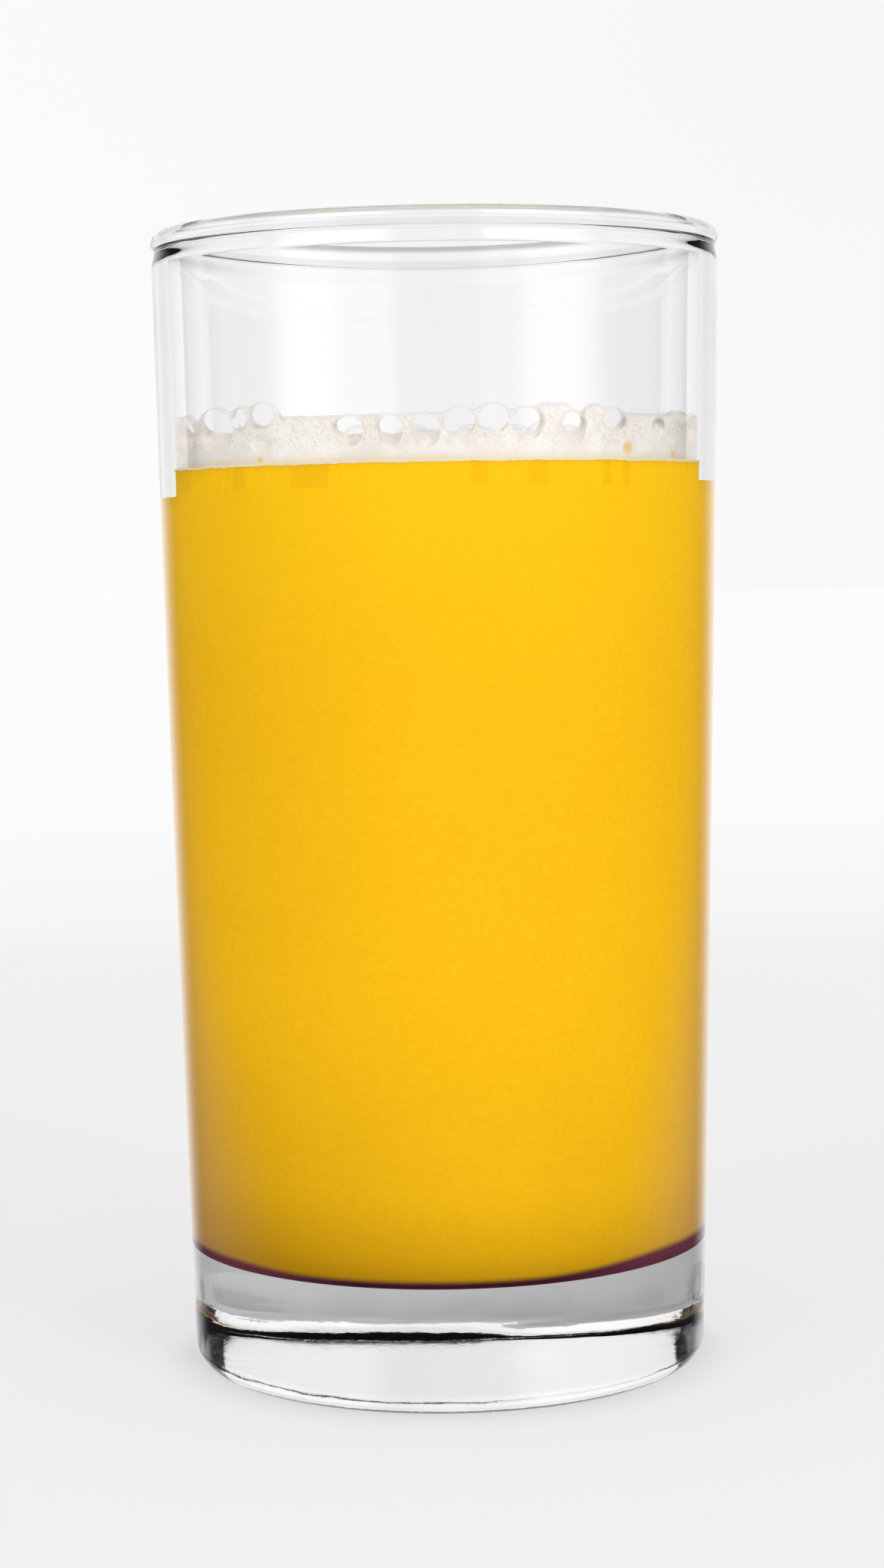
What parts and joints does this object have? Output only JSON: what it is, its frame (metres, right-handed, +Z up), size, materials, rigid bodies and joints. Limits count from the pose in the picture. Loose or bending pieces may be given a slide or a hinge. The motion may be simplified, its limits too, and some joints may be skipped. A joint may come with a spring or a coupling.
{
  "type": "glass of orange juice",
  "caption": "Straight clear tumbler with a heavy base and a rounded rim, filled with orange juice under a layer of bubbly froth.",
  "frame": {"origin": "middle of the foot, on the surface that the glass stands on", "axes": "+Z up along the glass's axis, -Y towards the side that the picture shows"},
  "size_m": [0.066, 0.066, 0.1329],
  "materials": {
    "glass": "clear, polished",
    "juice": "opaque liquid with a wet gloss",
    "froth": "fine pale foam with clear bubbles"
  },
  "bodies": {
    "root": {"glass": "glass", "juice": "juice", "froth": "froth"}
  },
  "joints": []
}
